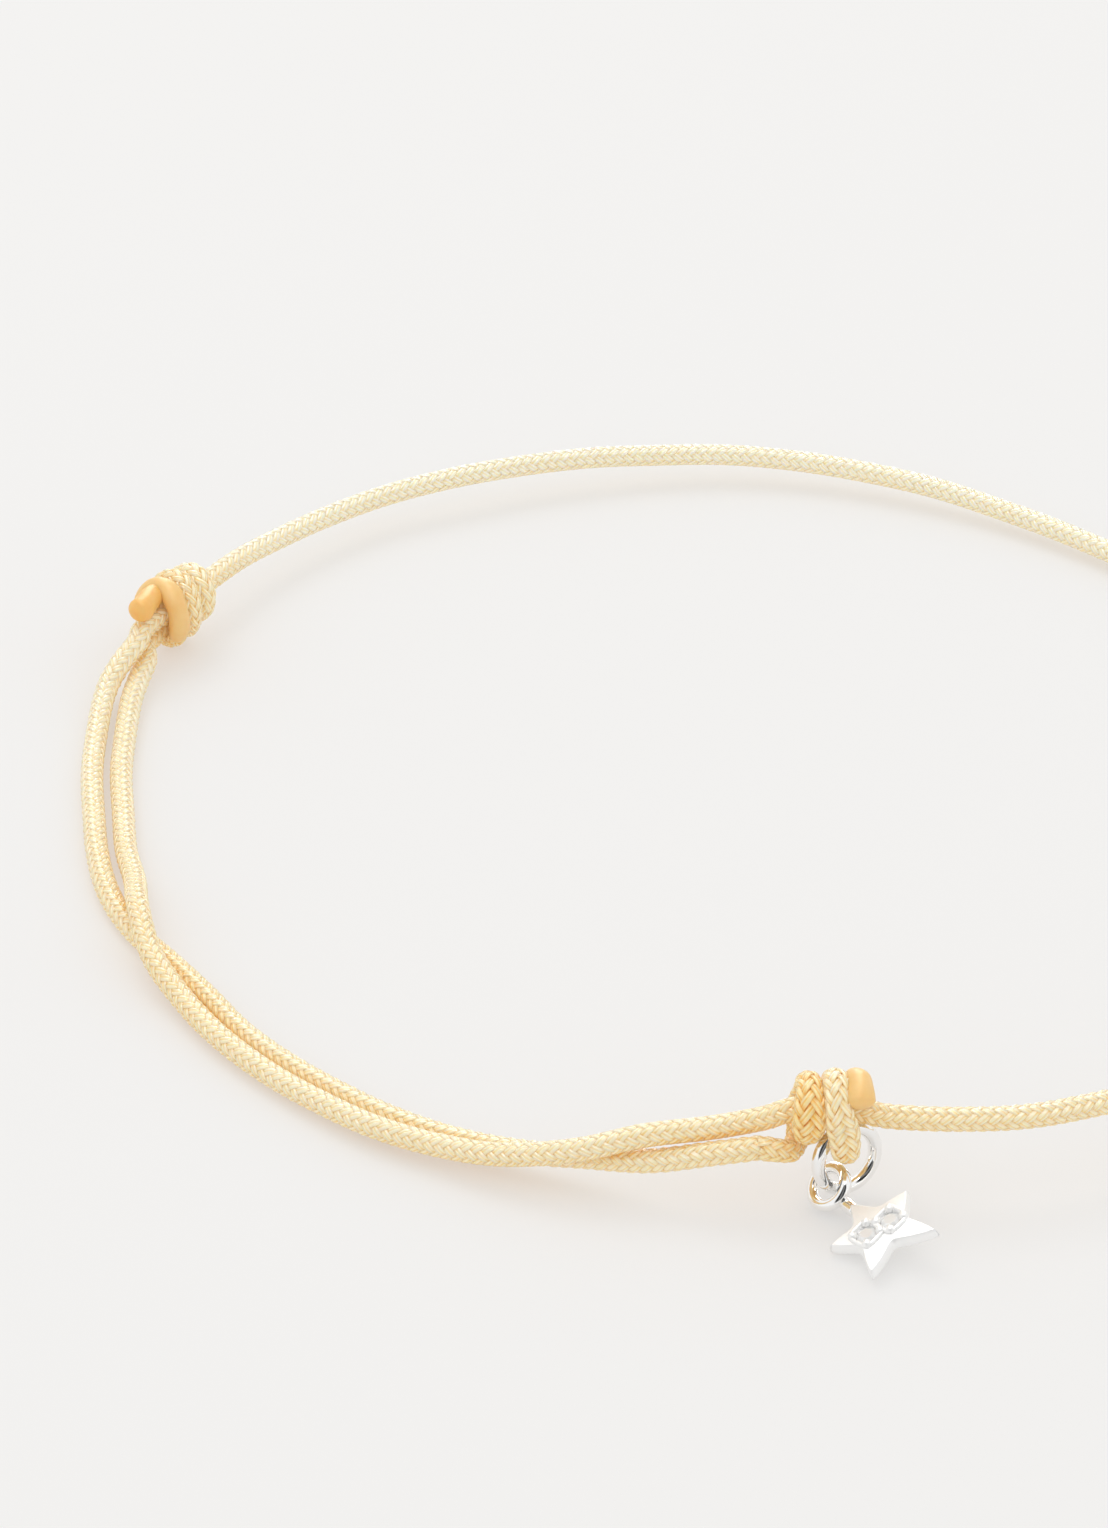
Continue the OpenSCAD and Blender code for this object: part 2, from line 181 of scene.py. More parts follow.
def through_rows(rows: np.ndarray) -> np.ndarray:
    """Catmull-Rom curve through the rows of a table, column by column.

    Between rows b and c, with neighbours a and d, the value at share t is
    (2b + (c - a)t + (2a - 5b + 4c - d)t^2 + (3b - a - 3c + d)t^3) / 2.

    Args:
        rows: the table, one row a station.

    Returns:
        The table with STATIONS_PER_ROW rows for each gap of the old one, and its last row.
    """
    padded = np.concatenate([rows[:1], rows, rows[-1:]])
    a, b, c, d = (padded[i:len(padded) - 3 + i, None, :] for i in range(4))
    t = (np.arange(STATIONS_PER_ROW) / STATIONS_PER_ROW)[None, :, None]
    curve = 0.5 * (2 * b + (c - a) * t + (2 * a - 5 * b + 4 * c - d) * t**2
                   + (3 * b - a - 3 * c + d) * t**3)
    return np.concatenate([curve.reshape(-1, rows.shape[1]), rows[-1:]])


@dataclass
class Spine:
    """A cord's middle line with its section: two directions and two half sizes a station.

    Everything is in millimetres.
    """

    points: np.ndarray
    out: np.ndarray
    half_wide: np.ndarray
    half_thick: np.ndarray
    stations: np.ndarray = field(init=False)
    along: np.ndarray = field(init=False)
    across: np.ndarray = field(init=False)

    def __post_init__(self) -> None:
        """Works out the stations and squares up the section's directions."""
        steps = np.linalg.norm(np.diff(self.points, axis=0), axis=1)
        self.stations = np.concatenate([[0.0], np.cumsum(steps)])
        self.along = route_directions(self.points)
        self.across = unit(np.cross(self.out, self.along))
        self.out = np.cross(self.along, self.across)

    @property
    def length(self) -> float:
        """The whole length of the middle line."""
        return float(self.stations[-1])

    def sample(self, values: np.ndarray, stations: np.ndarray) -> np.ndarray:
        """Values of the spine at other stations, by straight lines between its own.

        Args:
            values: one row or number for each of the spine's own stations.
            stations: distances along the spine, an array of any shape.

        Returns:
            The values there, with the shape of stations first.
        """
        if values.ndim == 1:
            return np.interp(stations, self.stations, values)
        columns = [np.interp(stations, self.stations, values[:, i]) for i in range(values.shape[1])]
        return np.stack(columns, -1)

    def section(self, stations: np.ndarray) -> list[np.ndarray]:
        """The middles, across and out directions, half widths and half thicknesses at stations."""
        return [self.sample(values, stations) for values in (
            self.points, self.across, self.out, self.half_wide, self.half_thick)]

    def reversed(self) -> "Spine":
        """The same spine from its other end."""
        return Spine(self.points[::-1], self.out[::-1], self.half_wide[::-1], self.half_thick[::-1])

    def spliced(self, after: "Spine") -> "Spine":
        """This spine and the one that starts where it ends, as one.

        The whole of this spine's section is turned by the one angle that brings its last out
        direction onto the other's first.

        Args:
            after: the spine that goes on from this one's end.

        Returns:
            The spine of both.
        """
        cos = float(after.out[0] @ self.out[-1])
        sin = float(after.out[0] @ self.across[-1])
        out = self.out * cos + self.across * sin
        return Spine(*(np.concatenate([a, b[1:]]) for a, b in (
            (self.points, after.points), (out, after.out),
            (self.half_wide, after.half_wide), (self.half_thick, after.half_thick))))


def level_spine(points: np.ndarray) -> Spine:
    """The round cord's spine through route points, its section's out direction near straight up."""
    fine = through_rows(points)
    half = np.full(len(fine), CORD_D / 2)
    return Spine(fine, np.cross(right_of(route_directions(fine)), route_directions(fine)), half, half)


@dataclass
class Surface:
    """Points in millimetres and faces, with a UV pair and two numbers for every point.

    The numbers are shade, which tells high yarn from low for the painted shade, and warm, which tells gold
    from cream and also carries painted shade.
    """

    points: np.ndarray
    faces: np.ndarray
    uv: np.ndarray
    shade: np.ndarray
    warm: np.ndarray
    smooth: bool = True
    caps: list[list[int]] = field(default_factory=list)

    def joined(self, *others: "Surface") -> "Surface":
        """This surface and others as one.

        Args:
            others: the surfaces that are added, in order.

        Returns:
            The surface of all.
        """
        every = [self, *others]
        starts = np.cumsum([0] + [len(s.points) for s in every])
        return Surface(
            np.concatenate([s.points for s in every]),
            np.concatenate([s.faces + n for s, n in zip(every, starts)]),
            np.concatenate([s.uv for s in every]),
            np.concatenate([s.shade for s in every]),
            np.concatenate([s.warm for s in every]),
            self.smooth,
            [[i + int(n) for i in cap] for s, n in zip(every, starts) for cap in s.caps],
        )

    def moved(self, matrix: np.ndarray, at: np.ndarray) -> "Surface":
        """The surface turned by a matrix and then moved."""
        return replace(self, points=self.points @ matrix.T + at)

    def to_object(self, name: str, finish: bpy.types.Material, slot: Slot,
                  node: str = "") -> bpy.types.Object:
        """Puts the surface into a Blender object at the origin.

        Args:
            name: the piece's name.
            finish: its material.
            slot: the record's material slot; not used.
            node: the CAD node that it stands for, or nothing.

        Returns:
            The object, riding on the root body.
        """
        mesh = bpy.data.meshes.new(name)
        mesh.from_pydata((self.points * MM).tolist(), [], self.faces.tolist() + self.caps)
        corners = np.zeros(len(mesh.loops), np.int32)
        mesh.loops.foreach_get("vertex_index", corners)
        mesh.uv_layers.new(name="UVMap").data.foreach_set("uv", self.uv[corners].ravel())
        for number, values in (("shade", self.shade), ("warm", self.warm)):
            mesh.attributes.new(number, "FLOAT", "POINT").data.foreach_set("value", values)
        mesh.polygons.foreach_set("use_smooth", np.full(len(mesh.polygons), self.smooth))
        mesh.materials.append(finish)
        mesh.update()
        piece = bpy.data.objects.new(name, mesh)
        bpy.context.scene.collection.objects.link(piece)
        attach(piece, "root")
        if node:
            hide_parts(node)
        LOG.info("%s: %d faces", name, len(mesh.polygons))
        return piece


def grid_faces(rows: int, columns: int, closed_rows: bool = False) -> np.ndarray:
    """Quads of a grid whose columns close round, and whose rows may close too.

    Args:
        rows: number of rings.
        columns: number of points in each ring.
        closed_rows: whether the last ring joins the first.

    Returns:
        Four point numbers for each quad, counter-clockwise from outside where the points
        of a ring run counter-clockwise seen from ahead.
    """
    i, j = np.meshgrid(np.arange(rows if closed_rows else rows - 1), np.arange(columns), indexing="ij")
    i2, j2 = (i + 1) % rows, (j + 1) % columns
    return np.stack([i * columns + j, i * columns + j2, i2 * columns + j2, i2 * columns + j],
                    -1).reshape(-1, 4)


def of_rings(rings: np.ndarray, uv: np.ndarray, shade: float = 0.0, warm: Any = 0.0,
             clockwise: bool = False, closed: bool = False) -> Surface:
    """The surface over rings of points, with a flat face at each end.

    Args:
        rings: the points, with the axes ring, place in the ring and coordinate.
        uv: a pair for every point.
        shade: the shade number of every point.
        warm: the warm number of every point, or one for each ring.
        clockwise: whether the rings run clockwise seen from ahead.
        closed: whether the last ring joins the first, so that there are no ends.

    Returns:
        The surface, facing outwards.
    """
    rows, columns = rings.shape[:2]
    first = list(range(columns))
    caps = [] if closed else [first[::-1], [i + (rows - 1) * columns for i in first]]
    turn = -1 if clockwise else 1
    return Surface(
        rings.reshape(-1, 3), grid_faces(rows, columns, closed)[:, ::turn], uv.reshape(-1, 2),
        np.full(rows * columns, shade),
        np.broadcast_to(np.reshape(warm, (-1, 1)), (rows, columns)).reshape(-1),
        caps=[cap[::turn] for cap in caps])


def tube(centres: np.ndarray, across: np.ndarray, out: np.ndarray, half_wide: np.ndarray,
         half_thick: np.ndarray, sides: int, phase: float = 0.0) -> tuple[np.ndarray, np.ndarray]:
    """Rings round centres: centre + across * a cos v + out * b sin v, with v round the ring.

    Args:
        centres: the middles, with any leading shape.
        across: the section's first direction, of the same shape.
        out: the section's second direction.
        half_wide: a, of the same leading shape.
        half_thick: b.
        sides: points in each ring.
        phase: turn of the first point, in radians.

    Returns:
        The points with one more axis before the last, and the angles v.
    """
    v = TAU * np.arange(sides) / sides + phase
    cos, sin = np.cos(v)[:, None], np.sin(v)[:, None]
    rings = (centres[..., None, :] + across[..., None, :] * half_wide[..., None, None] * cos
             + out[..., None, :] * half_thick[..., None, None] * sin)
    return rings, v


@dataclass
class Braid:
    """Sixteen flat yarns braided two over two under round a core.

    At station z the yarns of the first set stand at the angle z TAU / pitch + i TAU / 8 and
    those of the second set at the same angle the other way round. Where yarn i meets yarn j,
    the first is on top when i + j over 4 leaves less than 2. A yarn's middle rides at
    radius - rise + rise * w, where w is a rounded wave of its place between its crossings.
    The yarns are painted more gold on the cord's under side and beside other cord, as painted shade.
    """

    pitch: float = 4.4
    per_set: int = 8
    yarn_wide: float = 0.37
    yarn_thick: float = 0.17
    rise: float = 0.07
    top_wider: float = 0.06
    steps_per_pitch: int = 28
    fewest_rings: int = 6
    sides: int = 6
    core_share: float = 0.66
    core_sides: int = 10
    steps_per_core_ring: int = 4
    # The shade number: painted shade, lighter where a yarn rides high and on each yarn's top.
    high_shade: float = 0.35
    crown_shade: float = 0.15
    pattern_shift: float = 0.37
    second_set_shift: float = 3.1
    under_painted_shade: float = 0.45
    under_from: float = -0.2
    beside_painted_shade: float = 0.5
    beside_reach: float = 1.15
    beside_fade: float = 0.5

    def weave(self, place: np.ndarray) -> np.ndarray:
        """A cosine of period 4 flattened at its top and bottom, between -1 and 1."""
        wave = np.cos(TAU * (place - 0.5) / 4)
        return wave * (1.5 - 0.5 * wave**2)

    def around(self, spine: Spine, warm: np.ndarray, start: float = 0.0,
               end: float | None = None, beside: np.ndarray | None = None) -> Surface:
        """The yarns and the core of one stretch of cord.

        Args:
            spine: the middle line and section.
            warm: how gold the cord is at each of the spine's stations.
            start: the station where the stretch starts.
            end: the station where it ends, or nothing for the spine's end.
            beside: points of another stretch, towards which the yarns get more painted shade in gold.

        Returns:
            The closed surfaces of all yarns and of the core.
        """
        end = spine.length if end is None else end
        count = max(self.fewest_rings, int((end - start) / self.pitch * self.steps_per_pitch))
        z = np.linspace(start, end, count)
        hand = np.repeat([1.0, -1.0], self.per_set)[:, None]
        index = np.tile(np.arange(self.per_set), 2)[:, None].astype(float)
        lead = TAU * z[None, :] / self.pitch
        theta = hand * lead + index * TAU / self.per_set
        # The other set's number at this place is theta's share of a turn plus the lead's.
        other = (theta + hand * lead) * self.per_set / TAU
        wave = hand * self.weave(index + other)
        middle, across, out, wide, thick = (part[None] for part in spine.section(z))
        inset = self.yarn_thick / 2 + self.rise * (1 - wave)
        radial = across * np.cos(theta)[..., None] + out * np.sin(theta)[..., None]
        centre = (middle + across * ((wide - inset) * np.cos(theta))[..., None]
                  + out * ((thick - inset) * np.sin(theta))[..., None])
        along = unit(np.gradient(centre, axis=1))
        side = unit(np.cross(radial, along))
        scale = np.sqrt(wide * thick) / (CORD_D / 2)
        half_wide = self.yarn_wide / 2 * scale * (1 + self.top_wider * wave)
        half_thick = np.broadcast_to(self.yarn_thick / 2 * scale, half_wide.shape)
        rings, v = tube(centre, side, np.cross(along, side), half_wide, half_thick, self.sides, TAU / 4)
        firsts = (np.arange(len(rings)) * count * self.sides)[:, None]
        faces = grid_faces(count, self.sides)[None] + firsts[..., None]
        corners = firsts + np.arange(self.sides)
        caps = corners[:, ::-1].tolist() + (corners + (count - 1) * self.sides).tolist()
        shift = index * self.pattern_shift + (hand > 0) * self.second_set_shift
        uv = np.stack(np.broadcast_arrays(
            z[None, :, None] + shift[..., None], (v - TAU / 4) / TAU + index[..., None]), -1)
        # Painted shade: lighter on the high parts of the weave and on each yarn's top.
        shade = 0.5 + self.high_shade * wave[..., None] + self.crown_shade * np.sin(v)
        # Painted shade: the warm number plus more gold under the cord and beside the other stretch.
        glow = spine.sample(warm, z)[None] + self.shaded_side(centre, middle, beside)
        yarns = Surface(rings.reshape(-1, 3), faces.reshape(-1, 4), uv.reshape(-1, 2),
                        shade.reshape(-1), np.repeat(glow, self.sides), caps=caps)
        return yarns.joined(self.core(
            spine, warm, np.linspace(start, end, count // self.steps_per_core_ring + 2)))

    def shaded_side(self, centre: np.ndarray, middle: np.ndarray,
                    beside: np.ndarray | None) -> np.ndarray:
        """The painted shade: how much more gold the yarns are on the cord's under side and beside other
        cord.

        Args:
            centre: the yarns' middles, one row a yarn.
            middle: the cord's middle line.
            beside: points of another stretch, or nothing.

        Returns:
            One number for each place of each yarn.
        """
        down = (middle - centre)[..., 2] / (CORD_D / 2)
        share = self.under_painted_shade * smooth_step((down - self.under_from) / (1 - self.under_from))
        if beside is None:
            return share
        near = np.linalg.norm(centre[:, :, None] - beside, axis=-1).min(-1)
        return share + self.beside_painted_shade * smooth_step((self.beside_reach - near) / self.beside_fade)

    def core(self, spine: Spine, warm: np.ndarray, z: np.ndarray) -> Surface:
        """The round core that closes the gaps between yarns."""
        *directions, wide, thick = spine.section(z)
        return closed_tube(*directions, wide * self.core_share, thick * self.core_share,
                           self.core_sides, 0.0, spine.sample(warm, z))


def closed_tube(middle: np.ndarray, across: np.ndarray, out: np.ndarray, wide: np.ndarray,
                thick: np.ndarray, sides: int, shade: float, warm: np.ndarray) -> Surface:
    """A tube along stations, closed by a flat face at each end.

    Args:
        middle: the centres.
        across: the section's first direction.
        out: the section's second direction.
        wide: half widths.
        thick: half thicknesses.
        sides: points in each ring.
        shade: the shade number for every point.
        warm: the warm number of each station.

    Returns:
        The surface.
    """
    rings, v = tube(middle, across, out, wide, thick, sides)
    steps = np.linalg.norm(np.diff(middle, axis=0), axis=1)
    stations = np.concatenate([[0.0], np.cumsum(steps)])
    uv = np.stack(np.broadcast_arrays(stations[:, None], v[None, :] / TAU), -1)
    return of_rings(rings, uv, shade, warm)


def loop_of_wire(radius: Any, half_wide: float, half_high: float, steps: int, sides: int) -> Surface:
    """A closed ring of wire in the level plane.

    Its points are (r + a cos v)(cos u, sin u, 0) + b sin v up, with u round the ring and v
    round the wire.

    Args:
        radius: r, to the middle of the wire: one number, or one for each step.
        half_wide: a.
        half_high: b.
        steps: sections round the ring.
        sides: points in each section.

    Returns:
        The surface.
    """
    u = TAU * np.arange(steps) / steps
    v = TAU * np.arange(sides) / sides
    radial = np.stack([np.cos(u), np.sin(u), 0 * u], -1)[:, None]
    reach = np.broadcast_to(radius, steps)[:, None, None] + half_wide * np.cos(v)[None, :, None]
    uv = np.stack(np.broadcast_arrays(u[:, None], v[None]), -1)
    return of_rings(radial * reach + UP * (half_high * np.sin(v))[None, :, None], uv,
                    clockwise=True, closed=True)


@dataclass(frozen=True)
class MeltedTip:
    """The cord's end, melted smooth: a tube with shallow lumps that closes in a dome.

    The radius at station z and angle v is the section's own times
    1 + lump * (sin(2v + 3z) + sin(3v - 4z) / 2), and the last rings shrink as the cosine of
    a quarter turn while they step forward as its sine. The tube starts pinched, and the pinch
    fades as exp(-z / pinch_length).
    """

    dome_share: float = 0.7
    dome_rings: int = 12
    dome_angles: tuple[float, float] = (6.0, 86.0)
    sides: int = 40
    ring_spacing: float = 0.06
    lump: float = 0.03
    pinch: float = 0.5
    pinch_length: float = 0.12
    shade: float = 0.35

    def surface(self, spine: Spine, start: float) -> Surface:
        """The closed surface.

        Args:
            spine: the spine whose end is melted.
            start: the station at which the melting starts.

        Returns:
            The surface from there to the dome.
        """
        count = max(self.dome_rings, int((spine.length - start) / self.ring_spacing))
        z = np.linspace(start, spine.length, count)
        middle, across, out, wide, thick = spine.section(z)
        quarter = np.radians(np.linspace(*self.dome_angles, self.dome_rings))
        rise = float(thick[-1]) * self.dome_share * np.sin(quarter)
        middle = np.concatenate([middle, middle[-1] + spine.along[-1] * rise[:, None]])
        across, out = (np.concatenate([a, np.repeat(a[-1:], len(quarter), 0)]) for a in (across, out))
        swell = 1 - self.pinch * np.exp(-(z - start) / self.pinch_length)
        wide, thick = (np.concatenate([a * swell, a[-1] * np.cos(quarter)]) for a in (wide, thick))
        surface = closed_tube(middle, across, out, wide, thick, self.sides, self.shade,
                              np.ones(len(middle)))
        along, v = surface.uv[:, 0], surface.uv[:, 1] * TAU
        lumps = 1 + self.lump * (np.sin(2 * v + 3 * along) + 0.5 * np.sin(3 * v - 4 * along))
        centres = np.repeat(middle, self.sides, 0)
        return replace(surface, points=centres + (surface.points - centres) * lumps[:, None])


# Shader expressions


class Value:
    """A node's output socket that takes part in Python sums: an operator adds its Math node."""

    def __init__(self, nodes: "Nodes", socket: Any) -> None:
        """Keeps the socket and the nodes that it belongs to."""
        self.nodes, self.socket = nodes, socket

    def maths(self, operation: str, *values: Any) -> "Value":
        """One Math node on values or numbers."""
        return self.nodes.node("ShaderNodeMath", {"operation": operation}, dict(enumerate(values)))

    def __add__(self, other: Any) -> "Value":
        """Sum."""
        return self.maths("ADD", self, other)

    def __sub__(self, other: Any) -> "Value":
        """Difference."""
        return self.maths("SUBTRACT", self, other)

    def __rsub__(self, other: Any) -> "Value":
        """Difference from a number."""
        return self.maths("SUBTRACT", other, self)

    def __mul__(self, other: Any) -> "Value":
        """Product."""
        return self.maths("MULTIPLY", self, other)

    def __truediv__(self, other: Any) -> "Value":
        """Quotient."""
        return self.maths("DIVIDE", self, other)

    def __rtruediv__(self, other: Any) -> "Value":
        """Quotient of a number."""
        return self.maths("DIVIDE", other, self)

    __radd__ = __add__
    __rmul__ = __mul__

    def sine(self) -> "Value":
        """Sine of the value in radians."""
        return self.maths("SINE", self)

    def clamped(self) -> "Value":
        """The value kept between 0 and 1."""
        return self.nodes.node("ShaderNodeClamp", {}, {"Value": self})


class Nodes:
    """The nodes of one material or sky, which all come from one method."""

    def __init__(self, tree: bpy.types.NodeTree) -> None:
        """Keeps the tree."""
        self.tree = tree

    def node(self, kind: str, settings: dict[str, Any], inputs: dict[Any, Any],
             output: Any = 0) -> Value:
        """Adds a node.

        Args:
            kind: the node's type.
            settings: its properties, set first; "stops" holds a ramp's places and colours.
            inputs: values or links for its sockets, by name or number.
            output: name or number of the socket to give back.

        Returns:
            The output socket.
        """
        made = self.tree.nodes.new(kind)
        for key, value in settings.items():
            if key == "stops":
                while len(made.color_ramp.elements) < len(value):
                    made.color_ramp.elements.new(1.0)
                for element, (place, colour) in zip(made.color_ramp.elements, value):
                    element.position, element.color = place, (*colour, 1.0)
            else:
                setattr(made, key, value)
        for key, value in inputs.items():
            self.feed(made.inputs[key], value)
        return Value(self, made.outputs[output])

    def feed(self, socket: Any, value: Any) -> None:
        """Links a value to a socket, or sets a plain number, vector or colour on it.

        Args:
            socket: the input socket.
            value: a Value, a number, or a tuple of three numbers.
        """
        if isinstance(value, Value):
            self.tree.links.new(value.socket, socket)
        elif isinstance(value, tuple) and socket.type == "RGBA":
            socket.default_value = (*value, 1.0)
        else:
            socket.default_value = value

    def ramp(self, value: Value, stops: Sequence[tuple[float, Colour]]) -> Value:
        """Colours along a value."""
        return self.node("ShaderNodeValToRGB", {"stops": stops}, {0: value})

    def mix(self, share: Any, first: Any, second: Any, blend: str = "MIX") -> Value:
        """One colour into another."""
        return self.node("ShaderNodeMix", {"data_type": "RGBA", "blend_type": blend},
                         {0: share, 6: first, 7: second}, 2)

    def vector_maths(self, operation: str, first: Value, second: Sequence[float],
                     output: Any = 0) -> Value:
        """One Vector Math node on a link and three numbers."""
        return self.node("ShaderNodeVectorMath", {"operation": operation},
                         {0: first, 1: tuple(second)}, output)


class Shader(Nodes):
    """One material and its nodes, with a Principled shader on its output."""

    def __init__(self, name: str) -> None:
        """Makes the material.

        Args:
            name: the material's name.
        """
        self.material = bpy.data.materials.new(name)
        self.material.use_nodes = True
        super().__init__(self.material.node_tree)
        self.principled = self.tree.nodes["Principled BSDF"]

    def set(self, **inputs: Any) -> None:
        """Feeds the Principled shader's sockets; an underscore stands for a space."""
        for key, value in inputs.items():
            self.feed(self.principled.inputs[key.replace("_", " ")], value)

    def attribute(self, name: str) -> Value:
        """A number that the mesh holds for every point."""
        return self.node("ShaderNodeAttribute", {"attribute_name": name}, {}, "Fac")

    def uv(self) -> Value:
        """The piece's own UV map."""
        return self.node("ShaderNodeUVMap", {"uv_map": "UVMap"}, {})

    def place(self) -> Value:
        """Object coordinates."""
        return self.node("ShaderNodeTexCoord", {}, {}, "Object")

    def noise(self, vector: Value, scale: float, detail: float = 2.0, rough: float = 0.5) -> Value:
        """Soft noise between 0 and 1."""
        return self.node("ShaderNodeTexNoise", {}, {
            "Vector": vector, "Scale": scale, "Detail": detail, "Roughness": rough}, "Fac")

    def stretched(self, vector: Value, scale: Sequence[float]) -> Value:
        """A vector times three numbers."""
        return self.vector_maths("MULTIPLY", vector, scale)

    def bump(self, height: Value, strength: float, distance: float) -> Value:
        """A bump that feeds the shader's normal."""
        return self.node("ShaderNodeBump", {}, {
            "Height": height, "Strength": strength, "Distance": distance})


# Finishes


@dataclass(frozen=True)
class YarnFinish:
    """Satin nylon yarn with painted shade: light where it rides high and gold where it dives under.

    The cream set of three colours turns into the gold set as the point's warm number grows; each set runs
    from painted shade to light along the shade number.
    Each yarn is of two plies with a groove of painted shade between them, and of fine threads that wander,
    with a painted orange glow where it lies low.
    """

    name: str = "cord_yarn"
    # The cream and gold sets run from deep to high along the shade number: painted shade in the low
    # places.
    cream: tuple[Colour, Colour, Colour] = ((0.94, 0.64, 0.18), (0.96, 0.82, 0.48), (0.98, 0.93, 0.75))
    gold: tuple[Colour, Colour, Colour] = ((0.84, 0.28, 0.01), (0.9, 0.45, 0.07), (0.96, 0.7, 0.33))
    places: tuple[float, float, float] = (0.15, 0.58, 0.95)
    # Painted glow: light given off over the whole yarn, most orange where it lies low, standing in for
    # light through the nylon.
    glow: tuple[Colour, Colour] = ((1.0, 0.45, 0.07), (1.0, 0.8, 0.4))
    painted_glow_strength: float = 0.09
    threads: int = 7
    drift_stretch: Colour = (0.6, 3.0, 1.0)
    drift_scale: float = 2.0
    drift_turn: float = 5.0
    fuzz_scale: float = 30.0
    cloud_scale: float = 400.0
    unevenness: float = 0.3
    groove_start: float = 0.86
    groove_painted_shade: float = 0.35
    heights: tuple[float, float, float] = (0.3, 0.2, 2.0)
    bump_depth: float = 0.00003
    rough: tuple[float, float] = (0.2, 0.08)

    def material(self) -> bpy.types.Material:
        """Threads, a groove of painted shade and drift along each yarn's own UV, slow clouds of gold, and
        a painted glow.

        Returns:
            The yarn's material.
        """
        s = Shader(self.name)
        uv = s.uv()
        around = s.node("ShaderNodeSeparateXYZ", {}, {0: uv}, "Y")
        drift = s.noise(s.stretched(uv, self.drift_stretch), self.drift_scale)
        threads = (around * (TAU * self.threads) + drift * self.drift_turn).sine() * 0.5 + 0.5
        crown = (around * TAU + TAU / 4).sine()
        groove = ((crown - self.groove_start) / (1 - self.groove_start)).clamped()
        # Painted shade: the shade number drops in the groove between the plies.
        shade = s.attribute("shade") + (drift - 0.5) * self.unevenness - groove * self.groove_painted_shade
        cloud = s.noise(s.place(), self.cloud_scale)
        warm = (s.attribute("warm") + (cloud - 0.5) * self.unevenness).clamped()
        cream, gold = (s.ramp(shade, list(zip(self.places, colours)))
                       for colours in (self.cream, self.gold))
        thread_high, fuzz_high, groove_deep = self.heights
        height = threads * thread_high + s.noise(uv, self.fuzz_scale) * fuzz_high - groove * groove_deep
        smoothest, rougher = self.rough
        # Painted glow: the emission colour follows the shade number.
        s.set(Base_Color=s.mix(warm, cream, gold), Roughness=threads * rougher + smoothest,
              Normal=s.bump(height, 0.6, self.bump_depth), Specular_IOR_Level=0.8,
              Sheen_Weight=0.15, Sheen_Roughness=0.4, Sheen_Tint=(1.0, 0.95, 0.85),
              Subsurface_Weight=0.4, Subsurface_Radius=(1.0, 0.6, 0.25), Subsurface_Scale=0.0005,
              Emission_Color=s.mix(shade.clamped(), *self.glow), Emission_Strength=self.painted_glow_strength)
        return s.material


@dataclass(frozen=True)
class MeltedFinish:
    """Nylon melted smooth and darker at the cord's ends."""

    name: str
    light: Colour
    dark: Colour
    flow_scale: float = 900.0
    fine_scale: float = 6000.0
    rough: tuple[float, float] = (0.32, 0.2)
    bump_depth: float = 0.00006

    def material(self) -> bpy.types.Material:
        """Soft flow marks and a finer grain.

        Returns:
            The melted nylon's material.
        """
        s = Shader(self.name)
        place = s.place()
        flow = s.noise(place, self.flow_scale, 3.0, 0.55)
        fine = s.noise(place, self.fine_scale)
        smoothest, rougher = self.rough
        s.set(Base_Color=s.mix(flow, self.dark, self.light), Roughness=fine * rougher + smoothest,
              Normal=s.bump(flow + fine * 0.3, 0.35, self.bump_depth), Specular_IOR_Level=0.5,
              Subsurface_Weight=0.3, Subsurface_Radius=(1.0, 0.5, 0.2), Subsurface_Scale=0.0005)
        return s.material


@dataclass(frozen=True)
class SilverFinish:
    """Silver with very fine scratches, polished unless it is made rougher."""

    name: str
    colour: Colour = (0.95, 0.945, 0.935)
    rough: float = 0.07
    metal: float = 1.0
    clouded: float = 0.96
    cloud_scale: float = 700.0
    scratch_stretch: Colour = (1.0, 6.0, 2.0)
    scratch_scale: float = 4000.0
    bump_depth: float = 0.00001

    def material(self) -> bpy.types.Material:
        """Soft clouds, and scratches drawn out one way.

        Returns:
            The silver's material.
        """
        s = Shader(self.name)
        place = s.place()
        soft = s.noise(place, self.cloud_scale, 3.0)
        scratches = s.noise(s.stretched(place, self.scratch_stretch), self.scratch_scale)
        s.set(Base_Color=s.mix(soft, tuple(c * self.clouded for c in self.colour), self.colour),
              Metallic=self.metal, Roughness=soft * 0.05 + self.rough,
              Normal=s.bump(scratches, 0.05, self.bump_depth))
        return s.material


@dataclass(frozen=True)
class StoneFinish:
    """Clear cut stone with a trace of haze."""

    name: str
    hazy: Colour = (0.97, 0.97, 0.96)
    clear: Colour = (1.0, 1.0, 1.0)
    haze_scale: float = 2500.0

    def material(self) -> bpy.types.Material:
        """Clear, with soft haze.

        Returns:
            The stone's material.
        """
        s = Shader(self.name)
        haze = s.noise(s.place(), self.haze_scale)
        s.set(Base_Color=s.mix(haze, self.hazy, self.clear), Roughness=haze * 0.02,
              Transmission_Weight=0.15, IOR=1.9, Coat_Weight=0.6)
        return s.material


@dataclass(frozen=True)
class FloorFinish:
    """Plain pale paper with a very faint grain."""

    name: str
    colour: Colour
    glow: Colour
    grain_dark: float = 0.995
    grain_scale: float = 300.0

    def material(self) -> bpy.types.Material:
        """Paper that gives part of its light itself.

        Returns:
            The floor's material.
        """
        s = Shader(self.name)
        grain = s.noise(s.place(), self.grain_scale, 3.0)
        s.set(Base_Color=s.mix(grain, tuple(c * self.grain_dark for c in self.colour), self.colour),
              Roughness=0.9, Specular_IOR_Level=0.0, Emission_Color=self.glow, Emission_Strength=1.0)
        return s.material


# The studio


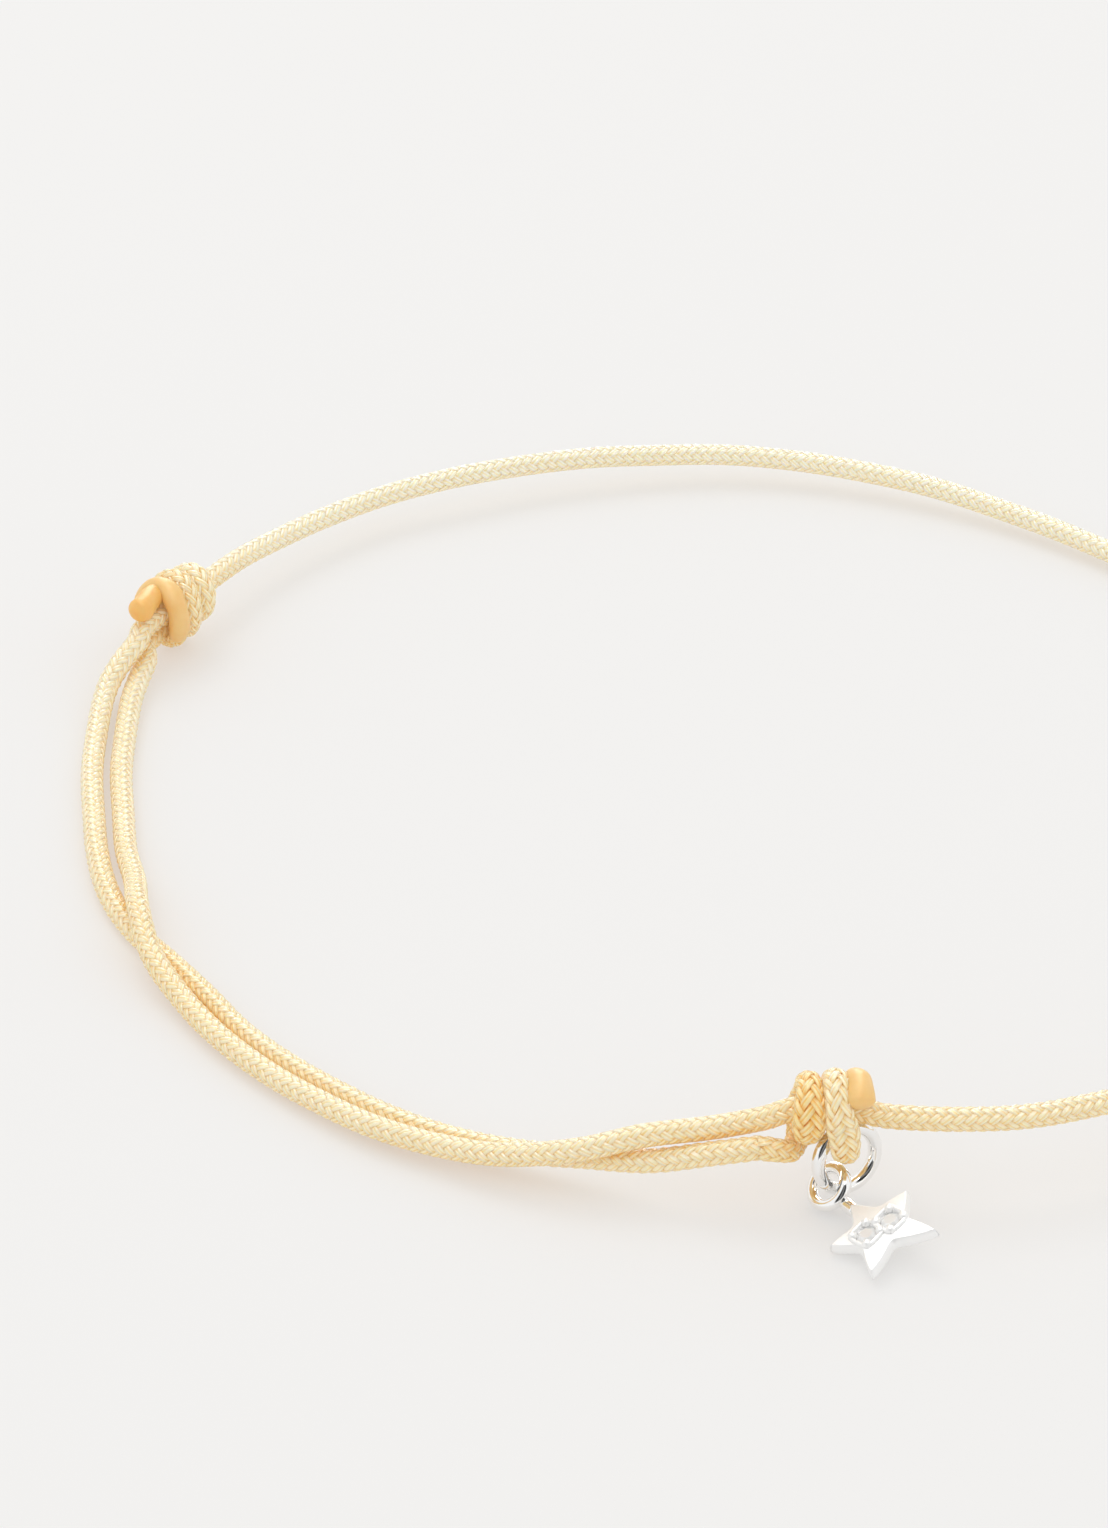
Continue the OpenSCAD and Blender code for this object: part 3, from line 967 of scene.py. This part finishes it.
@dataclass
class Studio:
    """The camera at the photograph's angle, the pale floor and the soft light above.

    Mirrored rays see a sky of their own: dark in a disc round the camera's place, and bright
    along a strip over the object from front to back.
    """

    eye: tuple[float, float, float] = (-0.0091, -0.2462, 0.1772)
    target: tuple[float, float, float] = (-0.0091, 0.0069, 0.0)
    focal_pixels: float = 6000.0
    sensor: float = 36.0
    clip: tuple[float, float] = (0.01, 20.0)
    floor_half: float = 2.0
    floor_colour: Colour = (0.5, 0.495, 0.488)
    floor_glow: Colour = (0.361, 0.357, 0.351)
    lamp_at: tuple[float, float, float] = (-0.16, 0.28, 0.5)
    lamp_size: float = 0.34
    lamp_power: float = 0.4
    sky: float = 0.98
    disc_edge: tuple[float, float] = (0.76, 0.84)
    disc_level: float = 0.03
    strip_edge: tuple[float, float] = (0.012, 0.05)
    strip_level: float = 6.5

    def add(self, name: str, data: Any) -> bpy.types.Object:
        """A new object in the scene."""
        thing = bpy.data.objects.new(name, data)
        bpy.context.scene.collection.objects.link(thing)
        return thing

    def make_camera(self) -> None:
        """The camera, whose sensor width stands for the picture's long side."""
        data = bpy.data.cameras.new("camera")
        data.sensor_width = self.sensor
        data.lens = self.sensor * self.focal_pixels / PHOTO_HEIGHT
        data.clip_start, data.clip_end = self.clip
        camera = self.add("camera", data)
        camera.location = self.eye
        look = Vector(self.target) - Vector(self.eye)
        camera.rotation_euler = look.to_track_quat("-Z", "Y").to_euler()
        bpy.context.scene.camera = camera

    def make_floor(self) -> None:
        """The floor, a wide flat sheet at z = 0."""
        h = self.floor_half
        mesh = bpy.data.meshes.new("floor")
        mesh.from_pydata([(-h, -h, 0), (h, -h, 0), (h, h, 0), (-h, h, 0)], [], [(0, 1, 2, 3)])
        mesh.materials.append(FloorFinish("pale_floor", self.floor_colour, self.floor_glow).material())
        self.add("floor", mesh)

    def make_lamp(self) -> None:
        """A soft round lamp behind on the left."""
        data = bpy.data.lights.new("softbox", "AREA")
        data.shape, data.size, data.energy = "DISK", self.lamp_size, self.lamp_power
        lamp = self.add("softbox", data)
        lamp.location = self.lamp_at
        lamp.rotation_euler = (-Vector(self.lamp_at)).to_track_quat("-Z", "Y").to_euler()

    def make_sky(self) -> None:
        """An even pale sky, and the one that mirrored rays see."""
        world = bpy.data.worlds.new("studio")
        bpy.context.scene.world = world
        world.use_nodes = True
        nodes = Nodes(world.node_tree)
        direction = nodes.node("ShaderNodeTexCoord", {}, {}, "Generated")
        to_eye = (Vector(self.eye) - Vector(self.target)).normalized()
        facing = nodes.vector_maths("DOT_PRODUCT", direction, to_eye, "Value")
        sideways = nodes.vector_maths("DOT_PRODUCT", direction, (1.0, 0.0, 0.0), "Value")
        white, black, dark, shine = (
            (level,) * 3 for level in (1.0, 0.0, self.disc_level, self.strip_level))
        disc = nodes.ramp(facing, list(zip(self.disc_edge, (white, dark))))
        strip = nodes.ramp(sideways * sideways, list(zip(self.strip_edge, (white, black))))
        mirrored = nodes.mix(1.0, nodes.mix(strip, white, shine), disc, "MULTIPLY")
        is_mirrored = nodes.node("ShaderNodeLightPath", {}, {}, "Is Glossy Ray")
        background = nodes.tree.nodes["Background"]
        nodes.feed(background.inputs["Color"], nodes.mix(is_mirrored, white, mirrored))
        nodes.feed(background.inputs["Strength"], self.sky)

    def build(self) -> None:
        """Makes everything round the object."""
        self.make_camera()
        self.make_floor()
        self.make_lamp()
        self.make_sky()
        bpy.context.scene.view_settings.view_transform = "Standard"


# The bracelet


@dataclass(frozen=True)
class SlidingKnot:
    """The turns of a sliding knot, which the end of one strand is tied into.

    The turns are drawn wider than the solid model's from the first side of the knot on, so
    that they press together. Warmth tells how gold the cord is at some turn angles: partly the
    orange of nylon melted smooth, partly painted shade.
    """

    node: str
    at: np.ndarray
    heading: float
    hand: float
    rows: np.ndarray
    warmth: tuple[tuple[float, float], ...]
    melt_turn: float
    pressed: float = 1.13
    pressed_from: float = 270.0
    overlap: float = 0.3

    @property
    def axis(self) -> np.ndarray:
        """The heading of the cord through the knot."""
        return heading_vector(self.heading)

    def spine(self, rows: np.ndarray) -> Spine:
        """A spine round the knot's axis: each place is at + axis * along + out * far.

        The out direction is up cos turn + side sin turn, and the side is to the right of the
        axis for hand 1 and to its left for hand -1.

        Args:
            rows: turn angle, along, far, width and thickness, one row a station.

        Returns:
            The spine.
        """
        fine = through_rows(rows)
        turn = np.radians(fine[:, :1])
        out = UP * np.cos(turn) + self.hand * right_of(self.axis) * np.sin(turn)
        points = self.at + self.axis * fine[:, 1:2] + out * fine[:, 2:3]
        return Spine(points, out, fine[:, 3] / 2, fine[:, 4] / 2)

    def turns(self) -> Spine:
        """The turns, each half width times 1 + (pressed - 1) * a smooth step of the turn angle.

        Returns:
            The spine.
        """
        spine = self.spine(self.rows)
        share = smooth_step((self.turn_angles() - self.pressed_from) / 90)
        spine.half_wide = spine.half_wide * (1 + (self.pressed - 1) * share)
        return spine

    def turn_angles(self) -> np.ndarray:
        """The turn angle at each station of the spine."""
        return through_rows(self.rows)[:, 0]

    def warm(self) -> np.ndarray:
        """How gold the cord is at each station of the spine, partly melted nylon's orange and partly
        painted shade.
        """
        return np.interp(self.turn_angles(), *zip(*self.warmth))

    def melt_station(self) -> float:
        """How far along the spine the melted end starts."""
        return float(np.interp(self.melt_turn, self.turn_angles(), self.turns().stations))


@dataclass
class CordLoop:
    """The whole cord: the single stretch, the pair of strands and the two knots.

    The free cord's gold grows towards the front and the left, and beside the knots, where it is
    painted shade. Each of these shares is held as how much, from where and over what length.
    """

    braid: Braid = field(default_factory=Braid)
    yarn: YarnFinish = YarnFinish()
    melted: MeltedFinish = MeltedFinish("melted_nylon", (0.88, 0.64, 0.3), (0.84, 0.48, 0.13))
    # The stub's deeper orange is partly the melted nylon's own and partly painted shade.
    stub_finish: MeltedFinish = MeltedFinish("melted_stub", (0.88, 0.57, 0.2), (0.85, 0.42, 0.08))
    # Knots' warmth: gold by turn angle, partly melted nylon's orange and partly painted shade.
    left: SlidingKnot = SlidingKnot(
        "left_knot", LEFT_KNOT_AT, LEFT_KNOT_HEADING, -1.0, LEFT_TURNS,
        ((158, 0.7), (250, 0.35), (450, 0.3), (600, 0.5), (760, 0.6), (900, 0.95)), 930.0)
    front: SlidingKnot = SlidingKnot(
        "front_knot", FRONT_KNOT_AT, FRONT_KNOT_HEADING, 1.0, FRONT_TURNS,
        ((141, 0.55), (175, 0.95), (330, 1.0), (540, 0.85), (660, 0.5), (800, 0.45), (990, 0.9)), 1000.0)
    tip: MeltedTip = MeltedTip()
    stub: MeltedTip = MeltedTip(dome_share=0.85)
    back_entry: float = 2.1
    outer_exit: float = 3.0
    least_gold: float = 0.02
    front_gold: tuple[float, float, float] = (0.36, 22.0, 35.0)
    left_gold: tuple[float, float, float] = (0.14, -22.0, 6.0)
    knot_painted_shade: tuple[float, float] = (0.3, 4.0)
    beside_spacing: float = 0.5
    path_points: int = 90

    def strand(self, sign: float) -> np.ndarray:
        """One strand's route points, each half of the pair's distance from the point midway.

        The way from there is right cos turn + over sin turn.

        Args:
            sign: 1 for the inner strand, -1 for the outer one.

        Returns:
            The points.
        """
        middle, turn = PAIR_ROWS[:, :3], np.radians(PAIR_ROWS[:, 3:4])
        heading = route_directions(middle)
        right = right_of(heading)
        over = np.cross(right, heading)
        return middle + sign * PAIR_ROWS[:, 4:5] / 2 * (right * np.cos(turn) + over * np.sin(turn))

    def back_spine(self) -> Spine:
        """The single stretch, from inside the front knot to inside the left one."""
        entry = self.left.at + self.left.axis * self.back_entry
        return level_spine(np.concatenate([BACK_ROUTE, [entry, self.left.at]]))

    def inner_spine(self) -> Spine:
        """The inner strand, from the left knot's turns to inside the front knot."""
        return level_spine(np.concatenate([
            self.left.turns().points[:1], self.strand(1.0), FRONT_ARCH, [self.front.at]]))

    def outer_spine(self) -> Spine:
        """The outer strand, from inside the left knot to the front knot's turns."""
        leaving = self.left.at - self.left.axis * self.outer_exit
        return level_spine(np.concatenate([
            [self.left.at, leaving], self.strand(-1.0), self.front.turns().points[:1]]))

    def warm(self, points: np.ndarray) -> np.ndarray:
        """How gold the free cord is: smooth steps of y and x, and exp(-d^2) beside the knots, as painted
        shade.

        Args:
            points: places along the cord.

        Returns:
            One number for each point.
        """
        (front, front_y, front_over), (left, left_x, left_over) = self.front_gold, self.left_gold
        near, near_over = self.knot_painted_shade
        distance = np.minimum(*(
            np.linalg.norm(points - knot.at, axis=1) for knot in (self.left, self.front)))
        return (self.least_gold + front * smooth_step((front_y - points[:, 1]) / front_over)
                + left * smooth_step((left_x - points[:, 0]) / left_over)
                + near * np.exp(-(distance / near_over)**2))

    def declare(self, piece: bpy.types.Object, spine: Spine) -> None:
        """Logs one stretch's length.

        Args:
            piece: the stretch's piece.
            spine: its middle line, from its exit on.
        """
        LOG.info("%s: %.1f mm long", piece.name, spine.length)

    def build_pair(self, node: str, strand: Spine, knot: SlidingKnot,
                   beside: Spine) -> tuple[bpy.types.Object, list[bpy.types.Object]]:
        """One strand and the knot that its end is tied into, under one unbroken braid.

        Args:
            node: the strand's CAD node.
            strand: the strand's spine, ending where the knot's turns start.
            knot: the knot.
            beside: the strand that lies beside this one.

        Returns:
            The strand's piece and the knot's pieces.
        """
        others = beside.sample(beside.points, np.arange(0, beside.length, self.beside_spacing))
        turns = knot.turns()
        whole = strand.spliced(turns)
        warm = np.concatenate([self.warm(strand.points), knot.warm()[1:]])
        melt = knot.melt_station()
        finish = self.yarn.material()
        free = self.braid.around(whole, warm, 0.0, strand.length, others)
        tied = self.braid.around(whole, warm, strand.length, strand.length + melt + knot.overlap)
        return free.to_object(f"{node}_braid", finish, Slot.CORD, node), [
            tied.to_object(f"{knot.node}_turns", finish, Slot.KNOT, knot.node),
            self.tip.surface(turns, melt).to_object(
                f"{knot.node}_melted_end", self.melted.material(), Slot.KNOT)]

    def build(self) -> None:
        """Makes the cord and logs the lengths of its stretches."""
        back, inner, outer = self.back_spine(), self.inner_spine(), self.outer_spine()
        back_piece = self.braid.around(back, self.warm(back.points)).to_object(
            "back_cord_braid", self.yarn.material(), Slot.CORD, "back_cord")
        inner_piece, left_pieces = self.build_pair("inner_strand", inner.reversed(), self.left, outer)
        outer_piece, front_pieces = self.build_pair("outer_strand", outer, self.front, inner)
        left_pieces.append(self.stub.surface(self.left.spine(LEFT_END), 0.0).to_object(
            "left_knot_stub", self.stub_finish.material(), Slot.KNOT))
        self.declare(back_piece, back)
        self.declare(inner_piece, inner)
        self.declare(outer_piece, outer)


@dataclass
class JumpRing:
    """The polished ring between the front knot and the star's bail."""

    radius: float = 1.55
    wire: float = 0.66
    turn: float = 30.0
    lean: float = 9.5
    steps: int = 128
    sides: int = 28
    finish: SilverFinish = SilverFinish("polished_silver")

    def build(self) -> None:
        """Makes the ring."""
        ring = loop_of_wire(self.radius, self.wire / 2, self.wire / 2, self.steps, self.sides)
        ring.moved(turned(2, self.turn) @ turned(0, 90 - self.lean), RING_AT).to_object(
            "jump_ring_wire", self.finish.material(), Slot.SILVER, "jump_ring")


@dataclass
class StarCharm:
    """The five-pointed silver star with its stone settings, neck and bail.

    The rim stands at hollow * h + (reach * t - hollow * h) * w, where t and h are the profile's
    shares for tips and hollows and w is (1 - 2s)^2 at share s of the way between two tips.
    A profile row holds t, h and the height as a share of the thickness.
    """

    thickness: float = 0.9
    tilt: tuple[float, float] = (7.6, -17.6)
    columns: int = 240
    face_rows: int = 46
    face_edge: tuple[float, float, float] = (0.93, 0.86, 0.0)
    rim: tuple[tuple[float, float, float], ...] = (
        (0.945, 0.885, -0.02), (0.958, 0.91, -0.06), (0.978, 0.955, -0.17), (0.993, 0.988, -0.32),
        (1.0, 1.0, -0.48), (0.99, 0.99, -0.56), (0.93, 0.93, -0.69), (0.82, 0.82, -0.8),
        (0.66, 0.66, -0.89), (0.42, 0.42, -0.97), (0.28, 0.28, -1.0))
    middle_share: float = 0.06
    stone_out: float = 0.64
    stone_heading: float = 27.0
    seat_radius: float = 0.5
    seat_depth: float = 0.56
    seat_edge: float = 0.06
    collar_half: float = 0.64
    collar_wire: tuple[float, float] = (0.11, 0.132)
    collar_lift: float = 0.03
    collar_grid: tuple[int, int] = (64, 14)
    bead_out: float = 0.66
    bead_radius: float = 0.23
    bead_lift: float = 0.05
    bead_grid: tuple[int, int] = (10, 18)
    pole_angle: float = 85.0
    neck_heading: float = 125.0
    neck_reach: tuple[float, float] = (1.9, 3.0)
    neck_radius: float = 0.34
    neck_z: float = -0.36
    neck_grid: tuple[int, int] = (8, 24)
    bail_out: float = 3.9
    bail_radius: float = 0.93
    bail_wire: float = 0.6
    bail_twist: float = -27.6
    bail_grid: tuple[int, int] = (96, 24)
    bright: SilverFinish = SilverFinish("bail_silver")
    satin: SilverFinish = SilverFinish("satin_silver", (0.95, 0.948, 0.938), 0.42, 0.4)
    stone: StoneFinish = StoneFinish("clear_stone")

    def body(self, seats: Sequence[np.ndarray]) -> Surface:
        """The cast body: a flat face with a seat for each stone, a rounded rim and a flat back.

        The face sinks by seat_depth within seat_radius of each seat, over a smooth edge.

        Args:
            seats: the stones' middles in the star's own frame.

        Returns:
            The closed surface.
        """
        angle = STAR_TIPS[0, 0] + 360 * np.arange(self.columns) / self.columns
        k = np.searchsorted(STAR_TIPS[:, 0], angle, side="right") - 1
        tip, after = STAR_TIPS[k], STAR_TIPS[k + 1]
        share = (angle - tip[:, 0]) / (after[:, 0] - tip[:, 0])
        reach, hollow = np.where(share < 0.5, tip[:, 1], after[:, 1]), tip[:, 2]
        face = np.linspace(self.middle_share, 1.0, self.face_rows)[:, None] * np.array(self.face_edge)
        back = [[self.middle_share, self.middle_share, -1.0]]
        t, h, z = np.concatenate([face, np.array(self.rim), back]).T[..., None]
        radius = hollow * h + (reach * t - hollow * h) * (1 - 2 * share)**2
        turn = np.radians(angle)
        points = np.stack(np.broadcast_arrays(
            radius * np.cos(turn), radius * np.sin(turn), z * self.thickness), -1)
        flat = points[:self.face_rows]
        for seat in seats:
            away = np.linalg.norm(flat[..., :2] - seat[:2], axis=-1)
            flat[..., 2] -= self.seat_depth * smooth_step((self.seat_radius - away) / self.seat_edge + 0.5)
        return of_rings(points, points[..., :2], clockwise=True)

    def setting(self, seat: np.ndarray) -> Surface:
        """A squarish collar of wire round one stone, with four round beads at its corners.

        The collar's middle line stands at radius r / (cos^4 + sin^4)^(1/4).

        Args:
            seat: the stone's middle in the star's own frame.

        Returns:
            The collar and its beads.
        """
        steps, sides = self.collar_grid
        u = TAU * np.arange(steps) / steps - TAU / 8
        reach = self.collar_half / (np.cos(u)**4 + np.sin(u)**4)**0.25
        collar = loop_of_wire(reach, *self.collar_wire, steps, sides)
        beads = (self.round_bead(seat + self.bead_out * heading_vector(turn) + UP * self.bead_lift)
                 for turn in (0, 90, 180, 270))
        return collar.moved(np.eye(3), seat + UP * self.collar_lift).joined(*beads)

    def round_bead(self, at: np.ndarray) -> Surface:
        """A ball: rings of radius r cos a at height r sin a, from pole to pole.

        Args:
            at: its middle.

        Returns:
            The closed surface.
        """
        rows, columns = self.bead_grid
        lift = np.radians(np.linspace(self.pole_angle, -self.pole_angle, rows))[:, None]
        u = TAU * np.arange(columns) / columns
        ball = np.stack(np.broadcast_arrays(
            np.cos(lift) * np.cos(u), np.cos(lift) * np.sin(u), np.sin(lift)), -1) * self.bead_radius
        return of_rings(ball, ball[..., :2], clockwise=True).moved(np.eye(3), at)

    def neck_and_bail(self) -> Surface:
        """The short neck and the ring of wire at its end.

        Returns:
            Both, in the star's own frame.
        """
        along = heading_vector(self.neck_heading)
        rings, sides = self.neck_grid
        middle = along * np.linspace(*self.neck_reach, rings)[:, None] + UP * self.neck_z
        half = np.full(rings, self.neck_radius)
        across, out = (np.broadcast_to(way, (rings, 3)) for way in (right_of(along), UP))
        neck = closed_tube(middle, across, out, half, half, sides, 0.0, 0 * half)
        bail = loop_of_wire(self.bail_radius, self.bail_wire / 2, self.bail_wire / 2, *self.bail_grid)
        return neck.joined(bail.moved(
            turned(2, self.neck_heading) @ turned(0, self.bail_twist), along * self.bail_out))

    def build(self) -> None:
        """Makes the star and dresses the stones that the solid model holds."""
        about_x, about_y = self.tilt
        frame_of = turned(0, about_x) @ turned(1, about_y)
        seats = [side * self.stone_out * heading_vector(self.stone_heading) for side in (-1, 1)]
        self.neck_and_bail().moved(frame_of, STAR_AT).to_object(
            "star_charm_bail", self.bright.material(), Slot.SILVER)
        cast = self.body(seats).joined(*(self.setting(seat) for seat in seats))
        cast.moved(frame_of, STAR_AT).to_object(
            "star_charm_cast", self.satin.material(), Slot.SILVER, "star_charm")
        clear = self.stone.material()
        for name in ("stone_left", "stone_right"):
            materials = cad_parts[name].data.materials
            materials.clear()
            materials.append(clear)
            LOG.info("%s: given its finish", name)


def main() -> None:
    """Builds the studio and the bracelet, and notes the sizes."""
    logging.basicConfig(level=logging.INFO, format="%(message)s")
    Studio().build()
    CordLoop().build()
    JumpRing().build()
    StarCharm().build()


if __name__ == "__main__":
    main()
